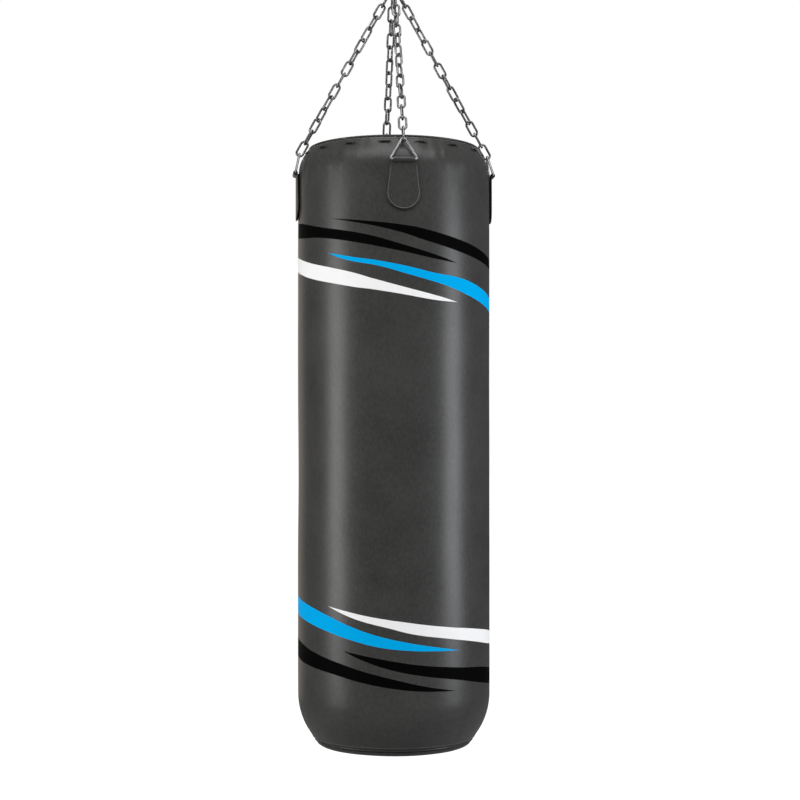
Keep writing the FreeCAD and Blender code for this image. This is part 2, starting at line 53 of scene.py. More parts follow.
class Signal:
    """One output of a node. Arithmetic on it adds Math nodes to its finish."""

    def __init__(self, finish, socket):
        self.finish = finish
        self.socket = socket

    def __getitem__(self, output):
        return Signal(self.finish, self.socket.node.outputs[output])

    def __add__(self, other):
        return self.finish.maths("ADD", self, other)

    def __radd__(self, other):
        return self.finish.maths("ADD", other, self)

    def __sub__(self, other):
        return self.finish.maths("SUBTRACT", self, other)

    def __rsub__(self, other):
        return self.finish.maths("SUBTRACT", other, self)

    def __mul__(self, other):
        return self.finish.maths("MULTIPLY", self, other)

    def __rmul__(self, other):
        return self.finish.maths("MULTIPLY", other, self)

    def __lt__(self, other):
        return self.finish.maths("LESS_THAN", self, other)


class Finish:
    """The material of one kind of surface: a Principled shader, its constants named by their sockets."""

    def __init__(self, name, **constants):
        self.material = bpy.data.materials.new(name)
        self.material.use_nodes = True
        self.tree = self.material.node_tree
        self.shader = self.tree.nodes["Principled BSDF"]
        self.point = self.node("TexCoord", output="Object")
        for socket, value in constants.items():
            self.feed(self.shader.inputs[socket.replace("_", " ")], value)

    def node(self, kind, settings=None, inputs=None, output=0):
        """Add a node, give it its settings and then its inputs, and return one of its outputs.

        "points" are the points of a curve and "stops" the grey stops of a ramp.
        """
        made = self.tree.nodes.new("ShaderNode" + kind)
        for name, value in (settings or {}).items():
            if name == "points":
                curve = made.mapping.curves[0]
                for _ in value[2:]:
                    curve.points.new(0.5, 0.5)
                for point, place in zip(curve.points, value):
                    point.location = place
                curve.points[0].handle_type = curve.points[-1].handle_type = "VECTOR"
                made.mapping.update()
            elif name == "stops":
                for stop, (place, shade) in zip(made.color_ramp.elements, value):
                    stop.position = place
                    stop.color = (shade, shade, shade, 1)
            else:
                setattr(made, name, value)
        for name, value in (inputs or {}).items():
            self.feed(made.inputs[name], value)
        return Signal(self, made.outputs[output])

    def maths(self, operation, *values):
        """Add a Math node over signals or numbers, and return its result."""
        return self.node("Math", {"operation": operation}, dict(enumerate(values)))

    def feed(self, socket, value):
        """Give a socket a signal or a constant."""
        if isinstance(value, Signal):
            self.tree.links.new(value.socket, socket)
        else:
            socket.default_value = value

    def cloud(self, scale, detail=2, stretch=(1, 1, 1)):
        """Soft noise from 0 to 1, with that many lumps to the metre."""
        place = self.node("Mapping", None, {"Vector": self.point, "Scale": stretch})
        lumps = self.node("TexNoise", None, {"Vector": place, "Scale": scale, "Detail": detail})
        return self.node("ValToRGB", {"stops": [(0.3, 0), (0.7, 1)]}, {"Fac": lumps})

    def blend(self, share, first, second):
        """A colour between two, by a share from 0 to 1."""
        return self.node("Mix", {"data_type": "RGBA"}, {0: share, 6: first, 7: second}, 2)

    def surface(self, colour, roughness, height, relief):
        """Feed the shader; the height is from 0 to 1 and its relief in metres."""
        self.feed(self.shader.inputs["Base Color"], colour)
        self.feed(self.shader.inputs["Roughness"], roughness)
        bump = self.node("Bump", None, {"Height": height, "Distance": relief, "Strength": 1.0})
        self.feed(self.shader.inputs["Normal"], bump)


def coat(piece, finish):
    """Give a piece its finish in every slot."""
    if not piece.material_slots:
        piece.data.materials.append(finish.material)
    for slot in piece.material_slots:
        slot.material = finish.material


def plated_steel(name, dull, bright, smooth, rough):
    """Zinc plate: cloudy, finely pitted, rubbed bright in spots."""
    finish = Finish(name, Metallic=1.0)
    clouds = finish.cloud(140, 3)
    rubbed = finish.cloud(60, 4)
    pits = finish.cloud(1400, 3)
    colour = finish.blend(clouds * 0.6 + rubbed * 0.4, dull, bright)
    finish.surface(colour, smooth + (rough - smooth) * pits + rubbed * 0.06, pits * 0.6 + clouds * 0.4, 0.00012)
    return finish


forged_steel = plated_steel("forged_steel", (0.34, 0.34, 0.35, 1), (0.62, 0.62, 0.64, 1), 0.22, 0.4)
for part in ("swivel_upper_eye", "swivel_lower_eye", "swivel_nut"):
    coat(nodes[part], forged_steel)

nylon = Finish("nylon_washer")
tool_marks = nylon.cloud(900)
nylon.surface(
    nylon.blend(nylon.cloud(300), (0.55, 0.54, 0.5, 1), (0.68, 0.67, 0.63, 1)),
    0.4 + tool_marks * 0.15,
    tool_marks,
    0.00003,
)
for part in ("swivel_washer", "swivel_thrust_washer"):
    coat(nodes[part], nylon)


# ---------------------------------------------------------------- master ring, chains and triangle rings
# Bent and welded steel wire: one ring under the swivel, four chains of fourteen links wound a little as
# they hang, and a triangle ring at the foot of each. The zinc on the links has gone dark grey.

chain_steel = plated_steel("chain_zinc", (0.09, 0.09, 0.092, 1), (0.33, 0.33, 0.335, 1), 0.24, 0.42)
ring_steel = plated_steel("ring_zinc", (0.16, 0.16, 0.165, 1), (0.4, 0.4, 0.41, 1), 0.24, 0.4)
SIDES = {"front": 0, "right": 90, "back": 180, "left": 270}
for side in SIDES:
    coat(nodes["chain_" + side], chain_steel)
    coat(nodes["triangle_ring_" + side], ring_steel)
coat(nodes["master_ring"], ring_steel)


# ---------------------------------------------------------------- outer cover
# Coated leather with a woven back, sewn to a tube, stuffed tight and drawn in to the rim by the lace. Its
# coloured bands are printed on, it puckers where the shoulder is drawn in, and its seam runs down the back.

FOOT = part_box("bottom_panel")[0].z
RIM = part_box("rim_welt")[1].z
BAG_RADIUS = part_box("outer_cover")[1].x
BAG_HEIGHT = RIM - FOOT
COVER_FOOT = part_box("outer_cover")[0].z - FOOT
COVER_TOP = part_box("outer_cover")[1].z - FOOT
SHOULDER_DROP = 0.050
SHOULDER_ARC = 0.0625
FOOT_RISE = 0.090
FOOT_ARC = 0.1207
LEATHER = 0.0022


def wall_radius(height):
    """The radius of the full cover at a height above the bag's foot."""
    if height > BAG_HEIGHT - SHOULDER_DROP:
        above = height - BAG_HEIGHT + SHOULDER_DROP
        return BAG_RADIUS - SHOULDER_ARC + math.sqrt(SHOULDER_ARC**2 - above**2)
    if height < FOOT_RISE:
        below = FOOT_RISE - height
        return BAG_RADIUS - FOOT_ARC + math.sqrt(FOOT_ARC**2 - below**2)
    return BAG_RADIUS


def lathe(name, rings, around):
    """A round piece drawn up ring by ring, from (radius, height above the foot) to the next."""
    bpy.ops.object.select_all(action="DESELECT")
    radius, height = rings[0]
    bpy.ops.mesh.primitive_circle_add(vertices=around, radius=radius, location=(0, 0, FOOT + height))
    piece = bpy.context.object
    piece.name = piece.data.name = name
    bpy.ops.object.transform_apply()
    bpy.ops.object.mode_set(mode="EDIT")
    bpy.ops.mesh.select_all(action="SELECT")
    for wider, higher in rings[1:]:
        bpy.ops.mesh.extrude_edges_move(TRANSFORM_OT_translate={"value": (0, 0, higher - height)})
        share = wider / radius
        bpy.ops.transform.resize(value=(share, share, 1), center_override=(0, 0, FOOT + higher))
        radius, height = wider, higher
    bpy.ops.object.mode_set(mode="OBJECT")
    return piece


def mould(piece, rule):
    """Move each point of a piece to where the rule puts it."""
    for vertex in piece.data.vertices:
        vertex.co = rule(vertex.co)


def pick(piece):
    """Make a piece the only selected one and the active one."""
    bpy.ops.object.select_all(action="DESELECT")
    piece.select_set(True)
    bpy.context.view_layer.objects.active = piece


def apply_modifier(piece, kind, **settings):
    """Add a modifier of that kind with those settings, and apply it."""
    bpy.context.view_layer.objects.active = piece
    modifier = piece.modifiers.new(kind.title(), kind)
    for name, value in settings.items():
        setattr(modifier, name, value)
    bpy.ops.object.modifier_apply(modifier=modifier.name)


def smooth(piece, degrees=40):
    """Shade a piece smooth, apart from edges sharper than the angle."""
    pick(piece)
    bpy.ops.object.shade_smooth_by_angle(angle=math.radians(degrees))


def face_outwards(piece):
    """Merge doubled points and turn every face outwards."""
    pick(piece)
    bpy.ops.object.mode_set(mode="EDIT")
    bpy.ops.mesh.select_all(action="SELECT")
    bpy.ops.mesh.remove_doubles(threshold=0.00001)
    bpy.ops.mesh.normals_make_consistent(inside=False)
    bpy.ops.object.mode_set(mode="OBJECT")


def steps(first, last, count):
    """Evenly spaced values from the first to the last, in that many steps."""
    return [first + (last - first) * i / count for i in range(count + 1)]


cover = lathe("leather_cover", [(wall_radius(h), h) for h in steps(COVER_FOOT, COVER_TOP, 170)], 192)

DENT_DEPTH = 0.0020
RIM_PUCKER = 0.0030
RIM_GATHERED = 0.085
FOOT_PUCKER = 0.0012
FOOT_GATHERED = 0.075
SEAM_DEPTH = 0.0012
SEAM_REACH = 0.007
HELD_EDGE = 0.012


def slack_leather(point):
    """Shallow dents, a seam down the back, and puckers that run down from the rim and up from the foot."""
    height = point.z - FOOT
    radial = Vector((point.x, point.y, 0)).normalized()
    near_rim = max(0, 1 - (BAG_HEIGHT - height) / RIM_GATHERED)
    near_foot = max(0, 1 - height / FOOT_GATHERED)
    from_seam = BAG_RADIUS * abs(math.atan2(radial.x, radial.y))
    seam = SEAM_DEPTH * max(0, 1 - from_seam / SEAM_REACH)
    dents = noise.noise(Vector((point.x * 15, point.y * 15, point.z * 6)))
    folds = noise.noise(Vector((radial.x * 16, radial.y * 16, point.z * 9)))
    puckers = (RIM_PUCKER * near_rim + FOOT_PUCKER * near_foot) * (0.5 + folds)
    inset = seam + DENT_DEPTH * (0.5 + 0.5 * dents) + puckers
    loose = min(1, (COVER_TOP - height) / HELD_EDGE, (height - COVER_FOOT) / HELD_EDGE)
    return point - radial * max(0, inset) * loose


mould(cover, slack_leather)
face_outwards(cover)


STUFFING_FRAMES = 20


def stuff(piece, pinned, pressure, proud):
    """Let the stuffing press a shell out, its pinned points held, then keep it near the full wall."""
    held = piece.vertex_groups.new(name="held")
    held.add([v.index for v in piece.data.vertices if pinned(v.co)], 1.0, "REPLACE")
    cloth = piece.modifiers.new("Cloth", "CLOTH")
    cloth.settings.quality = 4
    cloth.settings.mass = 0.4
    cloth.settings.tension_stiffness = 40
    cloth.settings.bending_stiffness = 4
    cloth.settings.use_pressure = True
    cloth.settings.uniform_pressure_force = pressure
    cloth.settings.effector_weights.gravity = 0
    cloth.settings.vertex_group_mass = "held"
    cloth.point_cache.frame_start, cloth.point_cache.frame_end = 1, STUFFING_FRAMES
    for moment in range(1, STUFFING_FRAMES + 1):
        bpy.context.scene.frame_set(moment)
    bpy.context.view_layer.objects.active = piece
    bpy.ops.object.modifier_apply(modifier=cloth.name)
    bpy.context.scene.frame_set(1)
    piece.vertex_groups.clear()

    def cap(point):
        """Bring a point that stands too far out back to the wall."""
        limit = wall_radius(min(max(point.z - FOOT, COVER_FOOT), COVER_TOP)) + proud
        reach = math.hypot(point.x, point.y)
        share = min(1, limit / reach)
        return Vector((point.x * share, point.y * share, point.z))

    mould(piece, cap)


stuff(cover, lambda p: p.z > RIM - 0.016 or p.z < FOOT + 0.022, 4.0, 0.0002)
apply_modifier(cover, "SOLIDIFY", thickness=LEATHER, offset=-1)
smooth(cover, 60)

# Each band runs from one tip to the other: degrees round the bag, and millimetres above its foot to the
# middle of the band and half across it.
BANDS = [
    ("black", [(-45, 935, 0), (-18, 922, 3.5), (0, 912, 7), (17, 900, 10), (39, 886, 10.5), (70, 869, 9),
               (110, 850, 7), (150, 838, 0)]),
    ("black", [(-205, 948, 0), (-160, 945, 8), (-120, 938, 13), (-83, 925, 13.5), (-48, 910, 9),
               (-23, 896, 8.5), (0, 879, 6), (17, 867, 4), (34, 857, 0)]),
    ("blue", [(-47, 875, 0), (-32, 863, 3.5), (-14, 853, 4.5), (4, 840, 6.8), (17, 831, 7.5), (33, 822, 11),
              (48, 812, 13), (70, 797, 13), (90, 787, 12), (150, 756, 0)]),
    ("white", [(-205, 893, 0), (-160, 891, 8), (-120, 880, 13), (-83, 862, 13), (-62, 847, 13.5),
               (-37, 831, 13), (-18, 818, 9.5), (0, 806, 6.5), (17, 796, 4.5), (34, 789, 0)]),
    ("white", [(-47, 259, 0), (-27, 243, 5), (-9, 232, 7), (8, 222, 9.5), (27, 214, 10), (45, 207, 11),
               (70, 196, 12), (110, 180, 9), (150, 172, 0)]),
    ("blue", [(-205, 284, 0), (-160, 280, 9), (-120, 268, 14), (-83, 250, 15.5), (-62, 239, 15),
              (-48, 229, 14), (-32, 215, 11.7), (-14, 201, 9.5), (4, 192, 6.5), (22, 186, 3), (36, 182, 0)]),
    ("black", [(-36, 183, 0), (-23, 172, 4.5), (-5, 159, 8), (12, 150, 9.2), (33, 142, 10.7),
               (70, 127, 14.5), (110, 106, 11), (150, 96, 0)]),
    ("black", [(-205, 204, 0), (-160, 200, 10), (-120, 192, 15), (-83, 174, 16.5), (-62, 163, 14),
               (-42, 152, 11.5), (-23, 139, 10), (-5, 128, 8), (12, 119, 4.5), (33, 112, 0)]),
]
CLEAR_COAT = 0.72
INKS = {"black": (0.002, 0.002, 0.002, 1), "white": (0.97, 0.97, 0.97, 1), "blue": (0.0, 0.41, 0.86, 1)}


def leather(name, shade, sheen):
    """Coated leather: pebbled grain, a faint mottle and scuffs that take the gloss off."""
    finish = Finish(name, Specular_IOR_Level=0.01, Coat_Roughness=0.34)
    pebbles = finish.node("TexVoronoi", {"feature": "SMOOTH_F1"}, {"Vector": finish.point, "Scale": 620.0})
    pores = finish.cloud(2600, 2)
    mottle = finish.cloud(230, 3, (1, 1, 0.6))
    scuffs = finish.cloud(14, 5)
    dark = tuple(0.70 * c for c in shade[:3]) + (1,)
    light = tuple(1.32 * c for c in shade[:3]) + (1,)
    finish.tint = finish.blend(mottle * 0.55 + scuffs * 0.45, dark, light)
    finish.gloss = sheen + scuffs * 0.07 + pores * 0.05
    finish.grain = pebbles * 0.7 + pores * 0.3
    return finish


def band_mask(finish, turn, height, points):
    """1 inside a band and 0 outside it, from its middle line and half width along it."""
    first, last = points[0][0], points[-1][0]
    along = finish.maths("WRAP", turn - first, 360, 0) * (1 / (last - first))
    places = [(angle - first) / (last - first) for angle, _, _ in points]
    widest = max(half for _, _, half in points)
    line = [(x, middle / 1000) for x, (_, middle, _) in zip(places, points)]
    width = [(x, half / widest) for x, (_, _, half) in zip(places, points)]
    middle = finish.node("FloatCurve", {"points": line}, {"Value": along})
    half = finish.node("FloatCurve", {"points": width}, {"Value": along}) * widest
    away = finish.maths("ABSOLUTE", height - middle * 1000)
    return (away < half) * (along < 1)


CHARCOAL = (0.042, 0.042, 0.040, 1)
printed_leather = leather("printed_leather", CHARCOAL, 0.45)
axes = printed_leather.node("SeparateXYZ", None, {"Vector": printed_leather.point})
turn = printed_leather.maths("ARCTAN2", axes["X"], axes["Y"] * -1) * (180 / math.pi)
height = (axes["Z"] - FOOT) * 1000
tint = printed_leather.tint
inked = 0.0
for ink, points in BANDS:
    mask = band_mask(printed_leather, turn, height, points)
    tint = printed_leather.blend(mask, tint, INKS[ink])
    inked = inked + mask
printed_leather.surface(tint, printed_leather.gloss, printed_leather.grain, 0.00022)
printed_leather.feed(printed_leather.shader.inputs["Coat Weight"], CLEAR_COAT - inked * CLEAR_COAT)
coat(cover, printed_leather)
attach(cover, "bag")
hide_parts("outer_cover")


# ---------------------------------------------------------------- bottom panel, lid and collar
# Cut discs of the same leather: a shallow dish sewn in below, which the filling presses out a little, a lid
# over the stuffing and a collar with a wide round opening over that.

trim_leather = leather("trim_leather", CHARCOAL, 0.45)
trim_leather.feed(trim_leather.shader.inputs["Coat Weight"], 0.65)
trim_leather.surface(trim_leather.tint, trim_leather.gloss, trim_leather.grain, 0.00025)


def leather_disc(name, node, rings, sag, thickness):
    """A disc of leather that dips between its seams, ring by ring from its edge inwards."""
    piece = lathe(name, rings, 144)

    def slack(point):
        """Dip and ripple, apart from the seams."""
        reach = math.hypot(point.x, point.y)
        ripple = noise.noise(Vector((point.x * 22, point.y * 22, 3.0 + point.z)))
        edge = min(1, max(0, (rings[0][0] - reach) / 0.02), max(0, (reach - rings[-1][0]) / 0.006 + 0.3))
        return point + Vector((0, 0, sag * edge * (ripple - 0.4)))

    mould(piece, slack)
    apply_modifier(piece, "SOLIDIFY", thickness=thickness, offset=0)
    face_outwards(piece)
    smooth(piece)
    coat(piece, trim_leather)
    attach(piece, "bag")
    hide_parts(node)
    return piece


def middle_height(node):
    """The height of a node's middle above the bag's foot."""
    low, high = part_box(node)
    return (low.z + high.z) / 2 - FOOT


lid_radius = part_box("top_lid")[1].x
lid_height = middle_height("top_lid")
leather_disc("lid", "top_lid", [(r, lid_height) for r in steps(lid_radius, 0.0006, 40)], 0.0012, 0.0018)
collar_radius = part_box("top_collar")[1].x
collar_height = middle_height("top_collar")
COLLAR_OPENING = 0.126
collar = [(r, collar_height) for r in steps(collar_radius, COLLAR_OPENING, 10)]
leather_disc("collar", "top_collar", collar, 0.0008, 0.0016)
panel_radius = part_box("bottom_panel")[1].x
BELLY_RADIUS = 0.124
dish = [(panel_radius - 0.0011, 0.0050), (0.1385, 0.0018), (0.1345, -0.0010), (0.1290, -0.0030)]
dish += [(r, -0.0055 + 0.0020 * (r / BELLY_RADIUS) ** 2) for r in steps(BELLY_RADIUS, 0.0006, 30)]
leather_disc("bottom_disc", "bottom_panel", dish, -0.0006, 0.0018)


# ---------------------------------------------------------------- welts and their seams
# A cord covered in thin leather runs round the rim and the bottom seam, with a row of waxed thread sewn
# through the cover beside it.


def welt(name, node):
    """A round of piping on a node's circle."""
    low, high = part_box(node)
    thick = (high.z - low.z) / 2
    middle = (high.z + low.z) / 2
    bpy.ops.object.select_all(action="DESELECT")
    bpy.ops.mesh.primitive_torus_add(
        location=(0, 0, middle), major_radius=high.x - thick, minor_radius=thick * 0.94,
        major_segments=240, minor_segments=14,
    )
    piece = bpy.context.object
    piece.name = piece.data.name = name
    bpy.ops.object.transform_apply()

    def gathered(point):
        """The leather on the cord is drawn in a little at every stitch."""
        around = math.atan2(point.y, point.x)
        centre = Vector((math.cos(around), math.sin(around), 0)) * (high.x - thick) + Vector((0, 0, middle))
        return centre + (point - centre) * (1 + 0.05 * math.sin(around * 150))

    mould(piece, gathered)
    smooth(piece, 60)
    coat(piece, trim_leather)
    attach(piece, "bag")
    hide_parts(node)


welt("rim_piping", "rim_welt")
welt("bottom_piping", "bottom_welt")

thread = Finish("waxed_thread")
thread.surface(
    thread.blend(thread.cloud(500), (0.16, 0.155, 0.15, 1), (0.25, 0.245, 0.235, 1)),
    0.5 + thread.cloud(1500) * 0.2,
    thread.cloud(3000),
    0.0001,
)


def stitch():
    """One pulled-tight stitch, 3 mm long, rounded at both ends."""
    bpy.ops.object.select_all(action="DESELECT")
    bpy.ops.mesh.primitive_uv_sphere_add(segments=6, ring_count=6, radius=0.0005, rotation=(0, math.pi / 2, 0))
    piece = bpy.context.object
    bpy.ops.object.transform_apply()
    bpy.ops.object.mode_set(mode="EDIT")
    bpy.ops.mesh.select_all(action="SELECT")
    bpy.ops.transform.resize(value=(3.0, 1, 0.8))
    bpy.ops.object.mode_set(mode="OBJECT")
    return piece


def seat(point, along, outward):
    """A place on a surface: X along the seam and Z out of the surface."""
    across = outward.cross(along).normalized()
    axes = Matrix((across.cross(outward), across, outward)).transposed().to_4x4()
    return Matrix.Translation(point) @ axes


def repeated(pattern, name, places, finish):
    """One piece made of a copy of the pattern at every place."""
    points, faces = [], []
    for place in places:
        start = len(points)
        points += [place @ v.co for v in pattern.data.vertices]
        faces += [[start + i for i in face.vertices] for face in pattern.data.polygons]
    mesh = bpy.data.meshes.new(name)
    mesh.from_pydata(points, [], faces)
    piece = bpy.data.objects.new(name, mesh)
    bpy.context.scene.collection.objects.link(piece)
    bpy.data.objects.remove(pattern)
    smooth(piece, 60)
    coat(piece, finish)
    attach(piece, "bag")
    return piece


def on_wall(degrees, height, proud=0.0):
    """The place on the cover at an angle and a height, with X round the bag and Z outwards."""
    angle = math.radians(degrees)
    rise = 0.0005
    slope = (wall_radius(min(height + rise, COVER_TOP)) - wall_radius(height - rise)) / (2 * rise)
    out = Vector((math.sin(angle), -math.cos(angle), -slope)).normalized()
    along = Vector((math.cos(angle), math.sin(angle), 0))
    radius = wall_radius(height)
    point = Vector((math.sin(angle) * radius, -math.cos(angle) * radius, FOOT + height))
    return seat(point + out * proud, along, out)


STITCH_PROUD = 0.0001
ROUND_STITCHES = 208
RIM_SEAM_HEIGHT = BAG_HEIGHT - 0.0062
FOOT_SEAM_HEIGHT = 0.0135
BACK_SEAM_TURN = 2.2
stitch_turns = [i * 360 / ROUND_STITCHES for i in range(ROUND_STITCHES)]

rim_seam = [on_wall(turned, RIM_SEAM_HEIGHT, STITCH_PROUD) for turned in stitch_turns]
repeated(stitch(), "rim_stitches", rim_seam, thread)
back_seam = [
    on_wall(180 + side, height, STITCH_PROUD) @ Matrix.Rotation(math.pi / 2, 4, "Z")
    for side in (-BACK_SEAM_TURN, BACK_SEAM_TURN) for height in steps(0.022, BAG_HEIGHT - 0.145, 150)
]
repeated(stitch(), "back_stitches", back_seam, thread)
foot_seam = [on_wall(turned, FOOT_SEAM_HEIGHT, STITCH_PROUD) for turned in stitch_turns]
repeated(stitch(), "bottom_stitches", foot_seam, thread)


# ---------------------------------------------------------------- lace and eyelets
# A round braided cord that closes the rim: it shows outside in sixteen short runs, and goes in and out
# through blackened eyelets set in the cover.

WINDOWS = 16
LACE_RADIUS = 0.0013
LACE_HEIGHT = middle_height("rim_lace")
LACE_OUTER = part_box("rim_lace")[1].x - LACE_RADIUS
LACE_INNER = LACE_OUTER - 0.0052
LACE_SHOW = 0.00625

bpy.ops.object.select_all(action="DESELECT")
lace_line = bpy.data.curves.new("braided_lace", "CURVE")
lace_line.dimensions = "3D"
lace_line.bevel_depth = LACE_RADIUS
lace_line.bevel_resolution = 3
run = lace_line.splines.new("NURBS")
corners = []
ramp = LACE_SHOW + LACE_OUTER - LACE_INNER
for window in range(WINDOWS):
    turned = Matrix.Rotation(math.radians((window + 0.5) * 360 / WINDOWS), 3, "Z")
    for across, radius in ((-ramp, LACE_INNER), (-LACE_SHOW, LACE_OUTER), (0, LACE_OUTER),
                           (LACE_SHOW, LACE_OUTER), (ramp, LACE_INNER)):
        corners.append(turned @ Vector((across, -radius, 0)))
run.points.add(len(corners) - 1)
for point, corner in zip(run.points, corners):
    point.co = (corner.x, corner.y, FOOT + LACE_HEIGHT, 1)
run.use_cyclic_u = True
run.order_u = 3
lace = bpy.data.objects.new("braided_lace", lace_line)
bpy.context.scene.collection.objects.link(lace)
lace.select_set(True)
bpy.context.view_layer.objects.active = lace
bpy.ops.object.convert(target="MESH")
lace = bpy.context.object
face_outwards(lace)
smooth(lace, 60)

braid = Finish("lace_braid", Specular_IOR_Level=0.1)
strands = braid.node("TexVoronoi", {"feature": "F1"}, {"Vector": braid.point, "Scale": 1500.0})
braid.surface(
    braid.blend(strands, (0.004, 0.004, 0.004, 1), (0.02, 0.02, 0.02, 1)),
    0.6 + braid.cloud(700) * 0.15,
    strands,
    0.0003,
)
coat(lace, braid)
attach(lace, "bag")
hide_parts("rim_lace")

blackened = plated_steel("eyelet_black", (0.03, 0.03, 0.03, 1), (0.10, 0.10, 0.10, 1), 0.26, 0.42)
bpy.ops.mesh.primitive_torus_add(
    major_radius=0.0021, minor_radius=0.0005, major_segments=18, minor_segments=6,
)
eyelet = bpy.context.object
bpy.ops.object.mode_set(mode="EDIT")
bpy.ops.mesh.select_all(action="SELECT")
bpy.ops.transform.resize(value=(1.25, 0.85, 0.7))
bpy.ops.object.mode_set(mode="OBJECT")
EYELET_ACROSS = 0.0090
eyelet_turn = math.degrees(math.asin(EYELET_ACROSS / LACE_OUTER))
eyelet_places = [
    on_wall((window + 0.5) * 360 / WINDOWS + side, LACE_HEIGHT, 0.0003)
    for window in range(WINDOWS) for side in (-eyelet_turn, eyelet_turn)
]
repeated(eyelet, "lace_eyelets", eyelet_places, blackened)


# ---------------------------------------------------------------- tabs
# Four drop-shaped double patches of leather sewn on round their edge, each folded over at the top into a
# loop that holds the base bar of its triangle ring.

RING_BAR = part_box("triangle_ring_front")[0].z + 0.002
BAR_RADIUS = 0.1796
TAB_FACE = BAG_RADIUS + 0.0037
TAB_TOP = 0.003
TAB_TOP_HALF = 0.0245
TAB_WIDE = 0.030
TAB_LONG = 0.056
TAB_SEAM = 0.0026

# Near-black finish, used two ways: as real edge paint on the tab's cut edge, and as a painted shadow on the
# outer 1.5 mm of the tab's face.
edge_paint_and_shadow = Finish("edge_paint_and_shadow")
brushed = edge_paint_and_shadow.cloud(900)
edge_paint_and_shadow.surface(
    edge_paint_and_shadow.blend(edge_paint_and_shadow.cloud(400), (0.004, 0.004, 0.004, 1), (0.009, 0.009, 0.009, 1)),
    0.55 + brushed * 0.15,
    brushed,
    0.0001,
)


def tab_half(depth):
    """Half the width of a tab at a depth below its base bar: a slight flare, then a half circle."""
    if depth < TAB_LONG:
        return TAB_TOP_HALF + (TAB_WIDE - TAB_TOP_HALF) * depth / TAB_LONG
    return math.sqrt(max(TAB_WIDE**2 - (depth - TAB_LONG) ** 2, 0))


def front_tab():
    """The front tab: a patch on the wall, joined to the loop round the ring's base bar."""
    bpy.ops.object.select_all(action="DESELECT")
    bpy.ops.mesh.primitive_grid_add(x_subdivisions=44, y_subdivisions=60, size=1, rotation=(math.pi / 2, 0, 0))
    patch = bpy.context.object
    bpy.ops.object.transform_apply()

    def drop(point):
        """Bend the sheet to the drop's outline on the wall, pressed in along its seam."""
        share = 0.5 - point.z
        straight = 0.6
        if share < straight:
            depth = TAB_TOP + (TAB_LONG - TAB_TOP) * share / straight
        else:
            depth = TAB_LONG + TAB_WIDE * math.sin((share - straight) / (1 - straight) * math.pi / 2)
        half = tab_half(depth)
        spread = math.sin(point.x * math.pi)
        across = spread * half
        to_edge = half - abs(across)
        if depth > TAB_LONG:
            to_edge = TAB_WIDE - math.hypot(across, depth - TAB_LONG)
        groove = 0.0006 * math.exp(-((to_edge - TAB_SEAM) / 0.0009) ** 2)
        rounded = 0.0012 * math.exp(-to_edge / 0.0008)
        radius = TAB_FACE - groove - rounded
        return Vector((across, -math.sqrt(radius**2 - across**2), RING_BAR - depth))

    mould(patch, drop)
    face_outwards(patch)
    coat(patch, trim_leather)
    # The second slot holds the near-black finish. Faces within 1.5 mm of the outline take it as a painted
    # shadow line round the tab. The solidified cut edge takes it as real edge paint.
    patch.data.materials.append(edge_paint_and_shadow.material)
    for face in patch.data.polygons:
        depth = RING_BAR - face.center.z
        round_edge = TAB_WIDE - math.hypot(face.center.x, depth - TAB_LONG)
        to_edge = tab_half(depth) - abs(face.center.x) if depth < TAB_LONG else round_edge
        face.material_index = 1 if to_edge < 0.0015 else 0
    apply_modifier(patch, "SOLIDIFY", thickness=0.0032, offset=-1, material_offset_rim=1)
    bpy.ops.mesh.primitive_cylinder_add(
        vertices=32, radius=0.00425, depth=0.0368, end_fill_type="NOTHING",
        location=(0, -BAR_RADIUS, RING_BAR), rotation=(0, math.pi / 2, 0),
    )
    loop = bpy.context.object
    bpy.ops.object.transform_apply()
    coat(loop, trim_leather)
    apply_modifier(loop, "SOLIDIFY", thickness=0.0019, offset=-1)
    apply_modifier(loop, "BEVEL", width=0.0005, segments=2)
    pick(patch)
    loop.select_set(True)
    bpy.ops.object.join()
    return patch


def seam_places():
    """Stitches along a drop just inside the tab's edge, and one row across under the loop."""
    round_half = TAB_WIDE - TAB_SEAM
    acrosses = steps(TAB_TOP_HALF - TAB_SEAM, round_half, 12)
    side = list(zip(acrosses, steps(0.010, TAB_LONG, 12)))[:-1]
    bow = [(round_half * math.cos(a), TAB_LONG + round_half * math.sin(a)) for a in steps(0, math.pi, 22)]
    drop = side + bow + [(-across, depth) for across, depth in reversed(side)]
    row = [(across, 0.0085) for across in steps(0.0185, -0.0185, 10)]
    radius = TAB_FACE - 0.0005
    places = []
    for points in (drop, row):
        ends = [
            Vector((across, -math.sqrt(radius**2 - across**2), RING_BAR - depth)) for across, depth in points
        ]
        for here, ahead in zip(ends, ends[1:]):
            middle = (here + ahead) / 2
            out = Vector((middle.x, middle.y, 0)).normalized()
            places.append(seat(middle, (ahead - here).normalized(), out))
    return places


pattern_tab = front_tab()
tab_seam = []
for side, degrees in SIDES.items():
    tab = pattern_tab.copy()
    tab.data = pattern_tab.data.copy()
    tab.name = tab.data.name = "leather_tab_" + side
    bpy.context.scene.collection.objects.link(tab)
    turned = Matrix.Rotation(math.radians(degrees), 4, "Z")
    tab.data.transform(turned)
    smooth(tab, 35)
    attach(tab, "bag")
    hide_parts("tab_" + side)
    tab_seam += [turned @ place for place in seam_places()]
bpy.data.objects.remove(pattern_tab)
repeated(stitch(), "tab_stitches", tab_seam, thread)


# ---------------------------------------------------------------- filling
# Inside, unseen: a wrap of closed-cell foam, foam discs below and above, and chopped textile packed hard
# between them.


